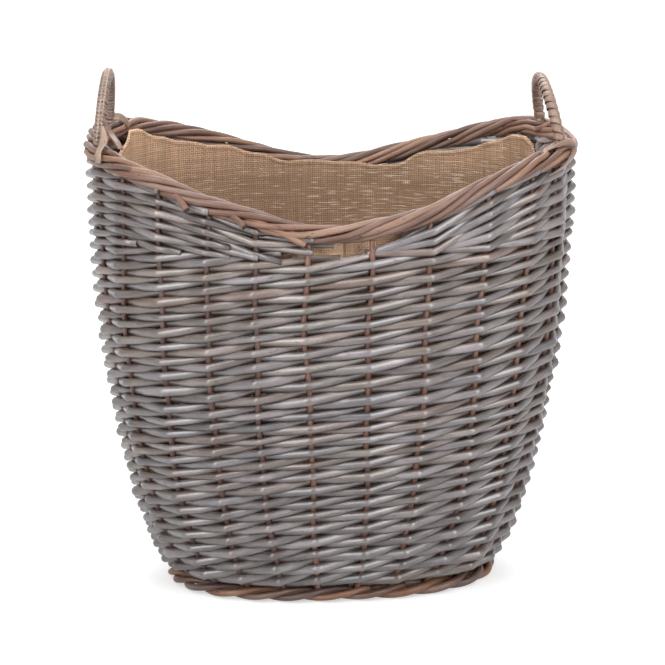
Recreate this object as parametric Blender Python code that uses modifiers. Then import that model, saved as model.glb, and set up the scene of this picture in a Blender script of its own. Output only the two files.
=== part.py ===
# Lined willow basket, in metres, +Z up, standing on z = 0 with its middle at x = y = 0.
# Its long side runs along X, its two handles stand at the ends, and its front faces -Y.

import math

import bmesh
import bpy
import numpy as np
from mathutils import Vector

# Plan and flare of the wall, measured on the line that the upright stakes follow
base_half_width = 0.151
base_half_depth = 0.080
rim_half_width = 0.222
rim_half_depth = 0.157
flare_height = 0.415
flare_power = 0.714
plan_power = 2.33

# Heights: the border's top at the front and back, how much it rises to the ends, the strip
# left open between it and the siding at the front and back, and the change of woven band
rim_height = 0.385
rim_end_rise = 0.052
open_strip = 0.0177
band_change_height = 0.212

# Rods
touch_gap = 0.0004
weld_share = 0.1
stake_count = 26
stake_radius = 0.0025
stake_crowding_share = 0.082
weaver_radius = 0.0048
weaver_clearance = 0.0018
row_gap = 0.0016
wale_rod_radius = 0.0028
wale_clearance = 0.0008
wale_half_lift = 0.0041
wale_end_share = 0.03
piecing_share = 0.008
border_rod_radius = 0.0035
border_rod_gap = 0.0010
border_rods = 4
border_quarter_turns_in_handle = 2
border_quarter_turns_between = 10
border_rest_share = 0.25
border_opening_power = 0.5
border_point_count = 3

# Base: an oval of fine weaving round crossed sticks
base_thickness = 0.0145
base_stick_radius = 0.0026
base_stick_clearance = 0.0004
cross_sticks = 5
long_sticks = 3

# Handles: a bent rod whose two legs go down into the siding, wrapped with flat skein. They were
# bent by hand: the left one stands a little higher and more upright than the right one.
handle_spacings = 3
right_handle_rise = 0.0585
right_handle_lean = 0.015
left_handle_rise = 0.0635
left_handle_lean = 0.002
arch_fullness_share = 0.85
arch_point_count = 16
handle_rod_radius = 0.0055
leg_depth = 0.072
leg_span_count = 2
skein_width = 0.0056
skein_thickness = 0.0012
skein_gap = 0.0026
skein_core_gap = 0.0003
skein_points_per_loop = 8

# Lining: a hessian wall and an oval floor, sewn together and stitched below the border
lining_thickness = 0.0016
lining_clearance = 0.0012
lining_edge_drop = 0.014
lining_end_dip = 0.036
lining_dip_reach = 1.25

# Stakes are counted from the middle of the front, seen from above, anticlockwise.
# A place round the basket is a number of stake spacings, and the stakes stand at the halves.
half_spacing_share = 0.5
quarter = stake_count / 4
first_legs = [quarter - 2, 3 * quarter - 2]
leg_places = [leg + apart for leg in first_legs for apart in (0, handle_spacings)]
outline_point_count = 720


def material(name, colour, roughness):
    made = bpy.data.materials.new(name)
    made.use_nodes = True
    shader = made.node_tree.nodes["Principled BSDF"]
    shader.inputs["Base Color"].default_value = (*colour, 1)
    shader.inputs["Roughness"].default_value = roughness
    made.diffuse_color = (*colour, 1)
    return made


def half_sizes(z):
    """The wall's half width and half depth at a height, on the stakes' line."""
    climb = (z - base_thickness) / (flare_height - base_thickness)
    climb_share = min(max(climb, 0), 1)
    flare_share = (1 - (1 - climb_share) ** 2) ** flare_power
    width = base_half_width + (rim_half_width - base_half_width) * flare_share
    depth = base_half_depth + (rim_half_depth - base_half_depth) * flare_share
    return width, depth


def signed_power(value, power):
    return np.sign(value) * np.abs(value) ** power


def wall_point(place, z, out=0):
    """A point of the wall, a number of stake spacings round it, pushed out by a distance."""
    width, depth = half_sizes(z)
    turn = np.linspace(0, 2 * math.pi, outline_point_count + 1)
    x = width * signed_power(np.sin(turn), 2 / plan_power)
    y = -depth * signed_power(np.cos(turn), 2 / plan_power)
    run = np.concatenate([[0], np.cumsum(np.hypot(np.diff(x), np.diff(y)))])
    crowding_share = stake_crowding_share * math.sin(4 * math.pi * place / stake_count)
    round_share = place / stake_count + crowding_share / (4 * math.pi)
    at = round_share % 1 * run[-1]
    x, y = np.interp(at, run, x), np.interp(at, run, y)
    normal = Vector((
        float(signed_power(x / width, plan_power - 1)) / width,
        float(signed_power(y / depth, plan_power - 1)) / depth,
        0,
    )).normalized()
    return Vector((x, y, z)) + normal * out


def end_share(place):
    """0 at the middle of the front and back, 1 at the two ends, as the rim rises."""
    x = wall_point(place, flare_height).x
    return (1 - math.cos(math.pi * x / rim_half_width)) / 2


def rim_at(place):
    return rim_height + rim_end_rise * end_share(place)


def leg_share(place):
    """1 at a handle leg, falling to 0 at the next stakes."""
    return max(max(0, 1 - abs(place % stake_count - leg)) for leg in leg_places)


def rod(name, points, radius, finish, sides=6, closed=False):
    """A rod along the points, as a curve with a round bevel."""
    curve = bpy.data.curves.new(name, "CURVE")
    curve.dimensions = "3D"
    curve.bevel_depth = radius
    curve.bevel_resolution = (sides - 4) // 2
    curve.use_fill_caps = True
    curve.twist_mode = "Z_UP"
    spline = curve.splines.new("POLY")
    spline.points.add(len(points) - 1)
    for slot, point in zip(spline.points, points):
        slot.co = (*point, 1)
    spline.use_cyclic_u = closed
    return add_object(name, curve, finish)


def add_object(name, data, finish):
    made = bpy.data.objects.new(name, data)
    data.materials.append(finish)
    basket.objects.link(made)
    return made


def outline_plate(name, z_low, z_high, inset, finish):
    """A flat oval that follows the foot of the wall, this far inside the stakes' line."""
    curve = bpy.data.curves.new(name, "CURVE")
    curve.dimensions = "2D"
    curve.fill_mode = "BOTH"
    curve.extrude = (z_high - z_low) / 2
    spline = curve.splines.new("POLY")
    points = [wall_point(step / 2, z_low, -inset) for step in range(stake_count * 2)]
    spline.points.add(len(points) - 1)
    for slot, point in zip(spline.points, points):
        slot.co = (point.x, point.y, 0, 1)
    spline.use_cyclic_u = True
    guide = bpy.data.objects.new(name + " outline", curve)
    guide.location.z = (z_low + z_high) / 2
    cutters.objects.link(guide)
    return made_mesh(name, guide, finish)


def made_mesh(name, guide, finish):
    """The guide curve as a closed mesh object, which a Boolean can cut."""
    bpy.context.view_layer.update()
    graph = bpy.context.evaluated_depsgraph_get()
    mesh = bpy.data.meshes.new_from_object(guide.evaluated_get(graph))
    mesh.name = name
    mesh.materials.clear()
    shape = bmesh.new()
    shape.from_mesh(mesh)
    bmesh.ops.remove_doubles(shape, verts=shape.verts, dist=touch_gap * weld_share)
    bmesh.ops.recalc_face_normals(shape, faces=shape.faces)
    shape.to_mesh(mesh)
    shape.free()
    made = add_object(name, mesh, finish)
    made.matrix_world = guide.matrix_world.copy()
    bpy.data.objects.remove(guide)
    return made


def cutter_rod(name, points, radius):
    """A hidden round bar that bores a hole."""
    guide = rod(name + " guide", points, radius, willow_pale, sides=8)
    bar = made_mesh(name, guide, willow_pale)
    basket.objects.unlink(bar)
    cutters.objects.link(bar)
    bar.hide_render = True
    bar.display_type = "WIRE"
    return bar


def bore(piece, bar):
    cut = piece.modifiers.new(bar.name, "BOOLEAN")
    cut.operation = "DIFFERENCE"
    cut.object = bar


def spread(count, half_reach):
    """Places that stand evenly across the base, this far to each side of its middle."""
    spacing = 2 * half_reach / (count + 1)
    return [(index - (count - 1) / 2) * spacing for index in range(count)]


def weaver_out(place, z):
    """How far a weaving rod stands off the stakes' line where it passes a stake or a leg."""
    member = stake_radius
    if min(abs(place % stake_count - leg) for leg in leg_places) < half_spacing_share / 2:
        if z > leg_foot(place) - weaver_radius * 2:
            member = handle_rod_radius
    below, above = half_sizes(z - weaver_radius), half_sizes(z + weaver_radius)
    slope = (above[0] - below[0]) / (2 * weaver_radius)
    return (member + weaver_clearance + weaver_radius) * math.hypot(1, slope)


def leg_foot(place):
    return rim_at(place) - leg_depth


def base():
    """The woven oval, bored for the crossed sticks that it is woven round, and the sticks."""
    inset = wale_half_spread() + wale_rod_radius - wale_middle_out() + touch_gap
    weave = outline_plate("base_weave", 0, base_thickness, inset, willow_pale)
    stick_apart = base_stick_radius * 2 + base_stick_clearance
    cross_z = (base_thickness - stick_apart) / 2
    long_z = cross_z + stick_apart
    hole_radius = base_stick_radius + base_stick_clearance
    cut_length = base_half_width * 2
    for number, x in enumerate(spread(cross_sticks, base_half_width - inset), 1):
        reach = base_reach(inset, x, along_x=False)
        line = [(x, -cut_length, cross_z), (x, cut_length, cross_z)]
        bore(weave, cutter_rod(f"cross bore {number}", line, hole_radius))
        ends = [(x, -reach, cross_z), (x, reach, cross_z)]
        rod(f"base_cross_stick_{number}", ends, base_stick_radius, willow_brown, sides=8)
    for number, y in enumerate(spread(long_sticks, base_half_depth - inset), 1):
        reach = base_reach(inset, y, along_x=True)
        line = [(-cut_length, y, long_z), (cut_length, y, long_z)]
        bore(weave, cutter_rod(f"long bore {number}", line, hole_radius))
        ends = [(-reach, y, long_z), (reach, y, long_z)]
        rod(f"base_long_stick_{number}", ends, base_stick_radius, willow_brown, sides=8)


def base_reach(inset, across, along_x):
    """How far a stick runs from the middle before it meets the oval's edge."""
    width, depth = base_half_width - inset, base_half_depth - inset
    if along_x:
        return width * (1 - abs(across / depth) ** plan_power) ** (1 / plan_power) - touch_gap
    return depth * (1 - abs(across / width) ** plan_power) ** (1 / plan_power) - touch_gap


def stakes():
    """The upright rods. Those below the handle legs stop where the legs stand on them."""
    height_shares = [0, 0.008, 0.02, 0.04, 0.08, 0.15, 0.27, 0.43, 0.65, 1]
    for number in range(stake_count):
        place = number + half_spacing_share
        top = rim_at(place) - border_drop() * 2 - touch_gap
        if place in leg_places:
            top = leg_foot(place) - touch_gap
        rise = top - base_thickness
        heights = [touch_gap, *(base_thickness + rise * share for share in height_shares)]
        points = [wall_point(place, height) for height in heights]
        rod(f"stake_{number + 1:02d}", points, stake_radius, willow_brown, sides=4)


def wale_half_spread():
    """Half the distance between a wale rod's innermost and outermost places."""
    return (stake_radius + wale_rod_radius + wale_clearance) * 4 / 3


def wale_middle_out():
    return stake_radius + wale_rod_radius + wale_clearance - wale_half_spread() / 2


def foot_wale():
    """Three rods twisted round the stakes' feet, each behind one stake and before two."""
    spacings = [stake_count + 1, stake_count + 1, stake_count - 2]
    start = half_spacing_share
    for number, run in enumerate(spacings, 1):
        points = []
        for step in range(2 * run + 1):
            place = start + step / 2
            if step in (0, 2 * run):
                place += wale_end_share if step == 0 else -wale_end_share
            angle = math.pi + 2 * math.pi / 3 * (place - half_spacing_share)
            out = wale_middle_out() + wale_half_spread() * math.cos(angle)
            lift = base_thickness / 2 + wale_half_lift * math.sin(angle)
            point = wall_point(place, 0, out)
            points.append((point.x, point.y, lift))
        rod(f"foot_wale_rod_{number}", points, wale_rod_radius, willow_orange, sides=4)
        start += run


def siding():
    """Two weaving rods chase each other up the wall, pieced where the bands change."""
    bottom = base_thickness + touch_gap + weaver_radius
    climb = rim_height - border_drop() * 2 - open_strip - weaver_radius - bottom
    end_rise = rim_end_rise + open_strip
    turns = int(climb / (2 * (2 * weaver_radius + row_gap)))
    lower_turns = round(turns * (band_change_height - bottom) / climb)
    spans = [("lower", 0, lower_turns, willow_grey), ("upper", lower_turns, turns, willow_pale)]
    for band, first_turn, last_turn, finish in spans:
        for letter, start in (("a", 0), ("b", stake_count // 2)):
            side = 1 if letter == "a" else -1
            places = weaver_places(start, first_turn * stake_count, last_turn * stake_count)
            points = []
            for place in places:
                share = (place - start) / (turns * stake_count)
                z = bottom + climb * share + end_rise * share * end_share(place)
                out = 0
                if place % 1 == half_spacing_share:
                    out = weaver_out(place, z) * side * (1 if place % 2 < 1 else -1)
                points.append(wall_point(place, z, out))
            rod(f"{band}_siding_rod_{letter}", points, weaver_radius, finish, sides=4)


def weaver_places(start, first, last):
    """The ends lie midway between stakes, with a small gap at the piecing."""
    middle = [start + first + step + half_spacing_share for step in range(last - first)]
    return [start + first + piecing_share, *middle, start + last - piecing_share]


def border_spread():
    """The radius of the circle on which the border rods twist."""
    return (border_rod_radius * 2 + border_rod_gap) / math.sqrt(2)


def border_drop():
    """From the border's top to its middle line."""
    return border_spread() + border_rod_radius


def border_turn(place):
    """Quarter turns of the twist: two rods pass on each side of every handle leg."""
    knots, turns = [], []
    turn = half_spacing_share
    for lap_place, leg in enumerate([*leg_places, leg_places[0] + stake_count]):
        knots += [leg - border_rest_share, leg + border_rest_share]
        turns += [turn, turn]
        inside_handle = lap_place % 2 == 0
        turn += border_quarter_turns_in_handle if inside_handle else border_quarter_turns_between
    lap_turns = 2 * (border_quarter_turns_in_handle + border_quarter_turns_between)
    if place < knots[0]:
        return np.interp(place + stake_count, knots, turns) - lap_turns
    return np.interp(place, knots, turns)


def border():
    """A rope of slender rods lies on the stakes' tops, opened out where the legs go down."""
    leg_side = handle_rod_radius + border_rod_radius + border_rod_gap
    leg_spread = leg_side / math.cos(math.pi / 4)
    fine = border_point_count
    steps = sorted({step / fine for step in range(stake_count * fine)} | leg_steps())
    for number in range(border_rods):
        points = []
        for place in steps:
            angle = (border_turn(place) + number) * math.pi / 2
            open_share = leg_share(place) ** border_opening_power
            side_reach = border_spread() + (leg_spread - border_spread()) * open_share
            out = side_reach * math.cos(angle)
            lift = border_spread() * math.sin(angle)
            centre = wall_point(place, rim_at(place) - border_drop(), out)
            points.append((centre.x, centre.y, centre.z + lift))
        rod(f"border_rod_{number + 1}", points, border_rod_radius, willow_brown, closed=True)


def leg_steps():
    sides = (-border_rest_share, 0, border_rest_share)
    return {leg + side for leg in leg_places for side in sides}


def handle_path(first_leg, rise, lean):
    """From one leg's foot in the siding, over the arch, to the other leg's foot."""
    height_shares = [step / leg_span_count for step in range(leg_span_count + 1)]
    legs = []
    for leg in (first_leg, first_leg + handle_spacings):
        foot = leg_foot(leg)
        legs.append([wall_point(leg, foot + leg_depth * share) for share in height_shares])
    left, right = legs[0][-1], legs[1][-1]
    centre = (left + right) / 2
    half_span = (right - left) / 2
    inward = Vector((-centre.x, -centre.y, 0)).normalized()
    crown = rise - skein_inner() - skein_thickness
    arch = []
    for step in range(1, arch_point_count):
        turn = math.pi * step / arch_point_count
        lift = math.sin(turn) ** arch_fullness_share
        tilt = inward * lean * lift
        arch.append(centre - half_span * math.cos(turn) + tilt + Vector((0, 0, crown * lift)))
    return legs[0] + arch + legs[1][::-1]


def along(path, distance):
    """A point this far along a path, the path's direction there, and its sideways normal."""
    steps = [(end - start).length for start, end in zip(path, path[1:])]
    run = np.concatenate([[0], np.cumsum(steps)])
    at = Vector([float(np.interp(distance, run, [point[axis] for point in path])) for axis in range(3)])
    step = skein_width / 2
    after = [float(np.interp(distance + step, run, [point[axis] for point in path])) for axis in range(3)]
    before = [float(np.interp(distance - step, run, [point[axis] for point in path])) for axis in range(3)]
    return at, (Vector(after) - Vector(before)).normalized()


def skein_inner():
    """The corners of the skein's inner face, whose flats clear the rod."""
    return (handle_rod_radius + skein_core_gap) / math.cos(math.pi / skein_points_per_loop)


def skein_wrap(name, path, finish):
    """Flat skein wound round the handle, one unbroken strip of even thickness."""
    pitch = skein_width + skein_gap
    steps = [(end - start).length for start, end in zip(path, path[1:])]
    start = sum(steps[:leg_span_count]) + skein_width / 2 + skein_gap
    stop = sum(steps[:-leg_span_count]) - skein_width / 2 - skein_gap
    loops = (stop - start) / pitch
    across = (path[-1] - path[0]).normalized()
    crown = path[len(path) // 2] - (path[leg_span_count] + path[-leg_span_count - 1]) / 2
    plane = across.cross(crown).normalized()
    inner = skein_inner()
    outer = inner + skein_thickness
    shape = bmesh.new()
    rings = []
    for step in range(int(loops * skein_points_per_loop) + 1):
        turn_share = step / skein_points_per_loop
        at, ahead = along(path, start + pitch * turn_share)
        up = ahead.cross(plane).normalized()
        angle = 2 * math.pi * turn_share
        ray = up * math.cos(angle) + plane * math.sin(angle)
        half = ahead * skein_width / 2
        corners = [at + ray * outer - half, at + ray * outer + half]
        corners += [at + ray * inner + half, at + ray * inner - half]
        rings.append([shape.verts.new(corner) for corner in corners])
    for ring, following in zip(rings, rings[1:]):
        for corner in range(4):
            after = (corner + 1) % 4
            shape.faces.new([ring[corner], ring[after], following[after], following[corner]])
    shape.faces.new(rings[0][::-1])
    shape.faces.new(rings[-1])
    bmesh.ops.recalc_face_normals(shape, faces=shape.faces)
    print(name, "loops", round(loops, 1), "least gap in mm", round(loop_gap(rings) * 1000, 2))
    mesh = bpy.data.meshes.new(name)
    shape.to_mesh(mesh)
    shape.free()
    return add_object(name, mesh, finish)


def loop_gap(rings):
    """The least distance between one loop's far edge and the next loop's near edge."""
    near = np.array([[ring[0].co, ring[3].co] for ring in rings])
    far = np.array([[ring[1].co, ring[2].co] for ring in rings])
    least = math.inf
    for index in range(len(rings) - skein_points_per_loop):
        loop_on = near[index + skein_points_per_loop // 2:index + skein_points_per_loop * 3 // 2]
        apart = np.linalg.norm(far[index][None, :, None] - loop_on[:, None], axis=-1)
        least = min(least, apart.min())
    return least


def handles():
    for name, first_leg, rise, lean in (
        ("right", first_legs[0], right_handle_rise, right_handle_lean),
        ("left", first_legs[1], left_handle_rise, left_handle_lean),
    ):
        path = handle_path(first_leg, rise, lean)
        rod(f"{name}_handle_rod", path, handle_rod_radius, willow_pale)
        skein_wrap(f"{name}_handle_skein", path, skein_cream)


def lining_inset(place):
    """The lining's face, clear of the weaving rods that pass inside the stakes and legs."""
    at_stake = stake_radius + weaver_clearance + weaver_radius * 2 + lining_clearance
    return at_stake + (handle_rod_radius - stake_radius) * leg_share(place)


def lining_edge(place):
    """The stitched top edge, just under the border, lower below each handle."""
    from_end = min(abs(place - quarter), abs(place - 3 * quarter))
    dip = lining_end_dip * math.exp(-(from_end / lining_dip_reach) ** 2)
    return rim_at(place) - lining_edge_drop - dip


def lining():
    """A hessian wall and floor, sewn into a bag that hangs inside the willow."""
    floor_z = base_thickness + touch_gap
    height_shares = [0, 0.06, 0.2, 0.48, 1]
    shape = bmesh.new()
    rows = []
    places = [step / 2 for step in range(stake_count * 2)]
    for share in height_shares:
        row = []
        for place in places:
            z = floor_z + (lining_edge(place) - floor_z) * share
            row.append(shape.verts.new(wall_point(place, z, -lining_inset(place))))
        rows.append(row)
    for row, above in zip(rows, rows[1:]):
        for step in range(len(row)):
            after = (step + 1) % len(row)
            shape.faces.new([row[step], row[after], above[after], above[step]])
    mesh = bpy.data.meshes.new("lining_wall")
    shape.to_mesh(mesh)
    shape.free()
    wall = add_object("lining_wall", mesh, hessian)
    thicken = wall.modifiers.new("thickness", "SOLIDIFY")
    thicken.thickness = lining_thickness
    thicken.offset = -1
    floor_inset = lining_inset(leg_places[0]) + lining_thickness + touch_gap
    floor_top = floor_z + lining_thickness
    outline_plate("lining_floor", floor_z, floor_top, floor_inset, hessian)


for leftover in list(bpy.data.objects):
    bpy.data.objects.remove(leftover)
basket = bpy.data.collections.new("Lined basket")
cutters = bpy.data.collections.new("Cutters")
bpy.context.scene.collection.children.link(basket)
bpy.context.scene.collection.children.link(cutters)

willow_brown = material("stripped brown willow", (0.24, 0.14, 0.10), 0.6)
willow_orange = material("buff willow", (0.30, 0.15, 0.08), 0.6)
willow_pale = material("pale grey willow", (0.42, 0.34, 0.30), 0.65)
willow_grey = material("grey willow", (0.25, 0.20, 0.18), 0.65)
skein_cream = material("split willow skein", (0.42, 0.30, 0.22), 0.55)
hessian = material("hessian", (0.33, 0.21, 0.13), 0.95)

base()
stakes()
foot_wale()
siding()
border()
handles()
lining()
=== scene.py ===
"""The looks of a lined oval willow basket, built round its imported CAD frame, in metres, +Z up."""

import math

import bpy
import numpy as np
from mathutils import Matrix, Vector


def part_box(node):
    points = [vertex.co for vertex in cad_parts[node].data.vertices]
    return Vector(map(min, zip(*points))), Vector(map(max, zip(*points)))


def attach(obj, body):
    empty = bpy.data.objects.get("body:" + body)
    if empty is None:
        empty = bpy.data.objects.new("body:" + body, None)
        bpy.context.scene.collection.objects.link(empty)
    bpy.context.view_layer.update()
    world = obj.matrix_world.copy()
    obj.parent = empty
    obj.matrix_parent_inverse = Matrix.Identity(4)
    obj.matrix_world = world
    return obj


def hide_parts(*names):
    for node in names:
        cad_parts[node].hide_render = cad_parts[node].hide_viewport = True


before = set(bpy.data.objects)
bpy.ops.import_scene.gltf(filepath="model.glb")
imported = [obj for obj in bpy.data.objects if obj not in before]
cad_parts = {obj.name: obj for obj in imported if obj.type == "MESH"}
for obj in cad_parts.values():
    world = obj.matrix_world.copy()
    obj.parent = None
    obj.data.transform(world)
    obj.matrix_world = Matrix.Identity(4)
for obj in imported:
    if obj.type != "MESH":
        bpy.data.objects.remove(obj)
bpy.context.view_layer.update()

# The camera stands a little to the left of the basket's front and looks down on it by about
# fifteen degrees, two metres away, as in the photograph.
view_azimuth = math.radians(-5.5)
view_elevation = math.radians(14.6)
view_distance = 2.0
view_aim = Vector((0.0014, 0, 0.2437))
sensor_width = 36
focal_length = 112


def seen_from(azimuth, elevation, distance, aim):
    """A place round the basket: azimuth 0 is in front of it, and a minus azimuth is to the left."""
    level = distance * math.cos(elevation)
    away = (level * math.sin(azimuth), -level * math.cos(azimuth), distance * math.sin(elevation))
    return aim + Vector(away)


def look_at(obj, place, aim):
    """Stands a camera or a lamp at a place and turns it to its aim."""
    obj.location = place
    obj.rotation_euler = (aim - place).to_track_quat("-Z", "Y").to_euler()


camera = bpy.data.objects.new("camera", bpy.data.cameras.new("camera"))
camera.data.sensor_width = sensor_width
camera.data.lens = focal_length
look_at(camera, seen_from(view_azimuth, view_elevation, view_distance, view_aim), view_aim)
bpy.context.scene.collection.objects.link(camera)
bpy.context.scene.camera = camera
bpy.context.scene.view_settings.view_transform = "Standard"

# The studio: tall soft boxes stand at the basket's sides and a broad one high behind it, a weak one
# hangs over it, and the floor and the background are white paper that keeps a soft shadow.
lamp_aim = Vector((0, 0, 0.25))
lamp_distance = 2.4
side_elevation = math.radians(33)
side_box = {"width": 0.8, "height": 2.4, "power": 37}
back_box = {"width": 1.4, "height": 1.8, "power": 36}
top_box = {"width": 1.4, "height": 1.0, "power": 10}
lamps = [
    ("left soft box", math.radians(-43.5), side_elevation, side_box),
    ("right soft box", math.radians(32.5), side_elevation, side_box),
    ("back soft box", math.radians(176), math.radians(50), back_box),
    ("overhead soft box", view_azimuth, math.radians(65), top_box),
]
white = (1, 1, 1, 1)
ambient_light = 0.10
paper_colour = (0.62, 0.62, 0.62, 1)
floor_half_size = 30
near_glow, far_glow = 0.48, 0.92
glow_reach = 0.8


class Wire:
    """A socket in a finish, so that sums on it are written as plain Python."""

    def __init__(self, finish, socket):
        self.finish, self.socket = finish, socket

    def __add__(self, other):
        return self.finish.maths("ADD", self, other)

    def __mul__(self, other):
        return self.finish.maths("MULTIPLY", self, other)

    __radd__, __rmul__ = __add__, __mul__


class Finish:
    """A material, or the world, whose nodes are written as calls and sums."""

    def __init__(self, name, owner=None):
        self.owner = owner or bpy.data.materials.new(name)
        self.owner.use_nodes = True
        self.tree = self.owner.node_tree
        if owner is None:
            self.shader = self.tree.nodes["Principled BSDF"]

    def node(self, kind, settings=None, values=None, output=0):
        made = self.tree.nodes.new("ShaderNode" + kind)
        for setting, value in (settings or {}).items():
            setattr(made, setting, value)
        for socket, value in (values or {}).items():
            self.plug(made.inputs[socket], value)
        return Wire(self, made.outputs[output])

    def plug(self, socket, value):
        if isinstance(value, Wire):
            self.tree.links.new(value.socket, socket)
        else:
            socket.default_value = value

    def set(self, **values):
        """The shader's own sockets, by their names in small letters."""
        for name, value in values.items():
            label = name.replace("_", " ").title().replace("Ior", "IOR")
            self.plug(self.shader.inputs[label], value)

    def maths(self, operation, first, second=0.0):
        return self.node("Math", {"operation": operation}, {0: first, 1: second})

    def attribute(self, name, output="Vector"):
        return self.node("Attribute", {"attribute_name": name}, output=output)

    def axis(self, vector, letter):
        return self.node("SeparateXYZ", None, {0: vector}, output=letter)

    def blend(self, share, first, second):
        """From the first colour to the second one."""
        return self.node("Mix", {"data_type": "RGBA"}, {0: share, 6: first, 7: second}, output=2)

    def tint(self, colour, by):
        """The colour times a grey of this level."""
        values = {0: 1.0, 6: colour, 7: by}
        return self.node("Mix", {"data_type": "RGBA", "blend_type": "MULTIPLY"}, values, output=2)

    def between(self, value, low, high, to_low=0.0, to_high=1.0):
        """The value's place between two limits, kept inside them."""
        values = {0: value, 1: low, 2: high, 3: to_low, 4: to_high}
        return self.node("MapRange", {"clamp": True}, values)

    def noise(self, place, scales, detail=2.0, roughness=0.5):
        """Noise with so many waves a metre along each axis."""
        place = self.node("VectorMath", {"operation": "MULTIPLY"}, {0: place, 1: scales})
        values = {"Vector": place, "Scale": 1.0, "Detail": detail, "Roughness": roughness}
        return self.node("TexNoise", None, values)

    def bump(self, height, strength, distance):
        values = {"Height": height, "Strength": strength, "Distance": distance}
        return self.node("Bump", None, values)


for name, azimuth, elevation, box in lamps:
    lamp = bpy.data.lights.new(name, "AREA")
    lamp.shape = "RECTANGLE"
    lamp.size, lamp.size_y = box["width"], box["height"]
    lamp.energy = box["power"]
    soft_box = bpy.data.objects.new(name, lamp)
    look_at(soft_box, seen_from(azimuth, elevation, lamp_distance, lamp_aim), lamp_aim)
    bpy.context.scene.collection.objects.link(soft_box)


def seen_directly(finish):
    """1 for what the camera sees directly, in a mirror or through glass, and 0 for other light."""
    path = finish.node("LightPath", output="Is Camera Ray")
    glossy = finish.node("LightPath", output="Is Glossy Ray")
    through = finish.node("LightPath", output="Is Transmission Ray")
    return finish.maths("MINIMUM", path + glossy + through, 1.0)


world = bpy.data.worlds.new("studio")
bpy.context.scene.world = world
air = Finish("studio", world)
background = air.tree.nodes["Background"]
air.plug(background.inputs["Color"], white)
strength = air.between(seen_directly(air), 0.0, 1.0, ambient_light, 1.0)
air.plug(background.inputs["Strength"], strength)

floor_mesh = bpy.data.meshes.new("floor")
floor_corners = [(x * floor_half_size, y * floor_half_size, 0)
                 for x, y in ((-1, -1), (1, -1), (1, 1), (-1, 1))]
floor_mesh.from_pydata(floor_corners, [], [(0, 1, 2, 3)])
floor = bpy.data.objects.new("floor", floor_mesh)
bpy.context.scene.collection.objects.link(floor)
paper = Finish("white paper")
paper.set(base_color=paper_colour, roughness=0.9, specular_ior_level=0.1)
place = paper.node("NewGeometry", output="Position")
from_basket = paper.node("VectorMath", {"operation": "LENGTH"}, {0: place}, output="Value")
level = paper.between(from_basket, 0.0, glow_reach, near_glow, far_glow)
glow = paper.node("Emission", None, {"Color": paper.tint(white, level)})
lit = Wire(paper, paper.shader.outputs[0])
glowing = paper.node("AddShader", None, {0: lit, 1: glow})
shown = paper.node("MixShader", None, {0: seen_directly(paper), 1: lit, 2: glowing})
paper.plug(paper.tree.nodes["Material Output"].inputs["Surface"], shown)
floor_mesh.materials.append(paper.owner)

# The base: thin rods woven in rounds over and under five short sticks and three long ones. It shows
# only from below. As on the whole basket, a rod is a tapered tube of willow, peeled or brown, under
# a thin grey wash: streaks along the grain, rubbed pale patches, specks and a satin sheen.
base_weave_low, base_weave_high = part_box("base_weave")
base_half_width, base_half_depth = 0.151, 0.080
plan_power = 2.33
stake_radius = 0.0027
base_rounds = 10
base_rod_radius = 0.0036
base_round_pitch = 0.0074
base_round_points = 145
base_weave_lift = 0.0032
base_crossings = 8
upright_sine = 0.2
grain_shifts = np.array([7.31, 3.17, 1.93])
grain_depth = 0.0006


def srgb(red, green, blue):
    """A colour as it looks on a screen, from 0 to 255, as linear light."""
    shares = np.array([red, green, blue]) / 255
    linear = np.where(shares < 0.04045, shares / 12.92, ((shares + 0.055) / 1.055) ** 2.4)
    return (*linear.tolist(), 1.0)


def unit(vectors):
    return vectors / np.linalg.norm(vectors, axis=-1, keepdims=True)


def run_along(points):
    """How far each point lies along its line."""
    return np.append(0, np.cumsum(np.linalg.norm(np.diff(points, axis=0), axis=1)))


def tube_faces(count, sides, base, mirrored=False):
    """The faces of a tube of so many rings of corners, and its two end caps last."""
    ring, corner = np.meshgrid(np.arange(count - 1), np.arange(sides), indexing="ij")
    near, far, after = ring * sides, (ring + 1) * sides, (corner + 1) % sides
    quads = np.stack([near + corner, near + after, far + after, far + corner], -1).reshape(-1, 4)
    caps = np.stack([np.arange(sides)[::-1], np.arange(sides) + (count - 1) * sides])
    if mirrored:
        quads, caps = quads[:, [0, 3, 2, 1]], caps[:, ::-1]
    return (quads + base).tolist() + (caps + base).tolist()


def add_piece(name, corners, faces, finishes, **attributes):
    """A piece of the basket. A second finish is for the cut ends, and attributes are per corner."""
    mesh = bpy.data.meshes.new(name)
    mesh.from_pydata(np.concatenate(corners).tolist(), [], faces)
    for finish in finishes:
        mesh.materials.append(finish.owner)
    caps = [len(face) > 4 for face in faces]
    mesh.polygons.foreach_set("use_smooth", [not cap for cap in caps])
    if len(finishes) > 1:
        mesh.polygons.foreach_set("material_index", [int(cap) for cap in caps])
    for attribute, values in attributes.items():
        values = np.concatenate(values).astype(np.float32)
        kind = "COLOR" if values.shape[1] == 4 else "VECTOR"
        kept = mesh.attributes.new(attribute, "FLOAT_" + kind, "POINT")
        kept.data.foreach_set(kind.lower(), values.ravel())
    mesh.update()
    piece = bpy.data.objects.new(name, mesh)
    bpy.context.scene.collection.objects.link(piece)
    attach(piece, "root")
    return piece


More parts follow.
